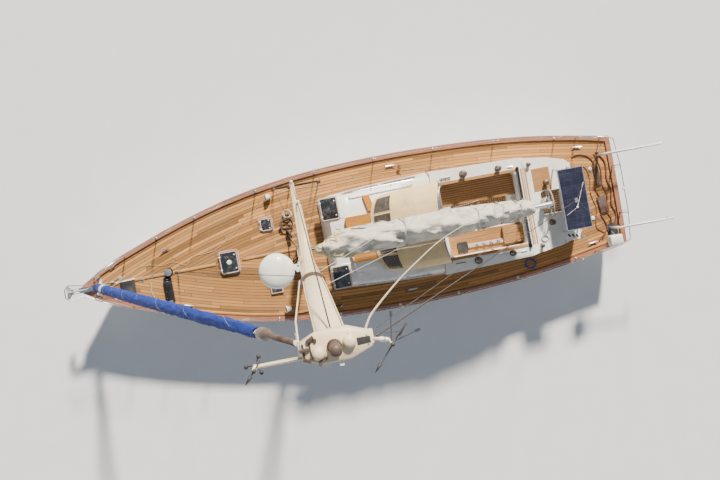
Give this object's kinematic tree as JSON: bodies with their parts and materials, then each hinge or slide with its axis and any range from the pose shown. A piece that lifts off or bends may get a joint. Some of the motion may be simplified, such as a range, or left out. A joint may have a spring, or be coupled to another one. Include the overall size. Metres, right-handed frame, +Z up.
{
  "type": "cruising sailboat",
  "caption": "Sloop-rigged cruising sailboat afloat at anchor, with teak decks, furled sails, cockpit under a sprayhood, fin keel and skeg-hung rudder.",
  "frame": {"origin": "on the waterline, on the centreline, halfway between the bow and the transom", "axes": "+X to the bow, +Y to port, +Z up the mast"},
  "size_m": [14.9173, 3.8472, 21.0489],
  "materials": {
    "gelcoat": "polished white gelcoat",
    "teak": "weathered laid teak with dark seams",
    "rail_wood": "oiled hardwood",
    "varnish": "varnished mahogany",
    "keel_iron": "antifouled iron",
    "antifoul": "matt bottom paint",
    "bronze": "bronze",
    "spar_paint": "cream painted aluminium",
    "alloy": "anodised",
    "stainless": "polished stainless steel",
    "canvas": "cream acrylic canvas",
    "sailcloth": "off-white polyester sailcloth",
    "sail_cover": "blue sacrificial strip",
    "white_paint": "white enamel",
    "dark_glass": "smoked acrylic",
    "solar_cells": "navy cells under glass",
    "dark_metal": "black anodised",
    "brown_plastic": "aged brown plastic",
    "white_plastic": "white moulded plastic",
    "rope": "braided tan rope"
  },
  "bodies": {
    "yacht": {"hull": "gelcoat", "deck": "teak", "cap_rail": "rail_wood", "keel": "keel_iron", "skeg": "antifoul", "propeller_shaft": "bronze", "coachroof": "gelcoat", "hatch_garage": "varnish", "sprayhood": "canvas", "cockpit": "gelcoat", "traveller": "dark_metal", "helm_pedestal": "white_paint", "mast": "spar_paint", "spreaders_lower": "spar_paint", "spreaders_upper": "spar_paint", "masthead_crane": "spar_paint", "masthead_light": "brown_plastic", "radar_bracket": "spar_paint", "radar_dome": "white_plastic", "gooseneck": "alloy", "stem_fitting": "stainless", "forestay_toggle": "stainless", "shrouds_port": "stainless", "shrouds_starboard": "stainless", "inner_forestay": "stainless", "backstay": "stainless", "solar_panel": "solar_cells", "panel_frame": "stainless", "pulpit": "stainless", "pushpit": "stainless", "lifelines_port": "stainless", "lifelines_starboard": "stainless", "davit_port": "white_paint", "davit_starboard": "white_paint", "lifebuoy": "white_plastic", "primary_winch_port": "stainless", "primary_winch_starboard": "stainless", "secondary_winch_port": "stainless", "secondary_winch_starboard": "stainless", "windlass": "dark_metal", "anchor": "alloy", "main_halyard": "rope", "furling_line": "rope"},
    "rudder": {"rudder": "antifoul"},
    "helm_wheel": {"helm_wheel": "stainless"},
    "propeller": {"propeller": "bronze"},
    "boom": {"boom": "alloy", "mainsail": "sailcloth"},
    "furler": {"furled_headsail": "sail_cover", "furler_drum": "dark_metal", "headsail_swivel": "brown_plastic"},
    "wind_vane": {"wind_vane": "dark_metal"},
    "wind_sensor_vane": {"wind_sensor_vane": "dark_metal"},
    "anemometer": {"anemometer": "dark_metal"},
    "fore_hatch": {"fore_hatch": "dark_glass"},
    "foredeck_hatch": {"foredeck_hatch": "dark_glass"},
    "roof_hatch_port": {"roof_hatch_port": "dark_glass"},
    "roof_hatch_starboard": {"roof_hatch_starboard": "dark_glass"},
    "companionway_hatch": {"companionway_hatch": "varnish"}
  },
  "joints": [
    {"name": "rudder_turn", "type": "hinge", "parent": "yacht", "child": "rudder", "pos_m": [-5.15, 0, -0.9], "axis": [0, 0, 1], "range_deg": [-35, 35]},
    {"name": "wheel_turn", "type": "hinge", "parent": "yacht", "child": "helm_wheel", "pos_m": [-4.84, 0, 2.01], "axis": [1, 0, 0], "range_deg": [-315, 315]},
    {"name": "propeller_spin", "type": "hinge", "parent": "yacht", "child": "propeller", "pos_m": [-3.56, 0, -0.93], "axis": [0.9924, 0, 0.123], "continuous": true},
    {"name": "boom_swing", "type": "hinge", "parent": "yacht", "child": "boom", "pos_m": [1.1, 0, 2.9], "axis": [0, 0, 1], "range_deg": [-60, 60]},
    {"name": "furler_spin", "type": "hinge", "parent": "yacht", "child": "furler", "pos_m": [6.36, 0, 1.75], "axis": [-0.2782, 0, 0.9605], "continuous": true},
    {"name": "wind_vane_turn", "type": "hinge", "parent": "yacht", "child": "wind_vane", "pos_m": [0.98, 0.03, 18.9], "axis": [0, 0, 1], "continuous": true},
    {"name": "wind_sensor_turn", "type": "hinge", "parent": "yacht", "child": "wind_sensor_vane", "pos_m": [1.872, 0.04, 18.83], "axis": [0, 0, 1], "continuous": true},
    {"name": "anemometer_spin", "type": "hinge", "parent": "yacht", "child": "anemometer", "pos_m": [1.872, 0.04, 18.6], "axis": [0, 0, 1], "continuous": true},
    {"name": "fore_hatch_lift", "type": "hinge", "parent": "yacht", "child": "fore_hatch", "pos_m": [3.38, 0, 1.5], "axis": [0, 1, 0], "range_deg": [0, 85]},
    {"name": "foredeck_hatch_lift", "type": "hinge", "parent": "yacht", "child": "foredeck_hatch", "pos_m": [2.25, -0.745, 1.44], "axis": [0, 1, 0], "range_deg": [0, 85]},
    {"name": "roof_hatch_port_lift", "type": "hinge", "parent": "yacht", "child": "roof_hatch_port", "pos_m": [0.74, 0.84, 1.915], "axis": [0, 1, 0], "range_deg": [0, 80]},
    {"name": "roof_hatch_starboard_lift", "type": "hinge", "parent": "yacht", "child": "roof_hatch_starboard", "pos_m": [0.74, -0.84, 1.915], "axis": [0, 1, 0], "range_deg": [0, 80]},
    {"name": "companionway_slide", "type": "slide", "parent": "yacht", "child": "companionway_hatch", "axis": [-1, 0, 0], "range_m": [0, 0.72]}
  ],
  "couplings": [
    {"joint": "wheel_turn", "follows": "rudder_turn", "ratio": 9}
  ]
}
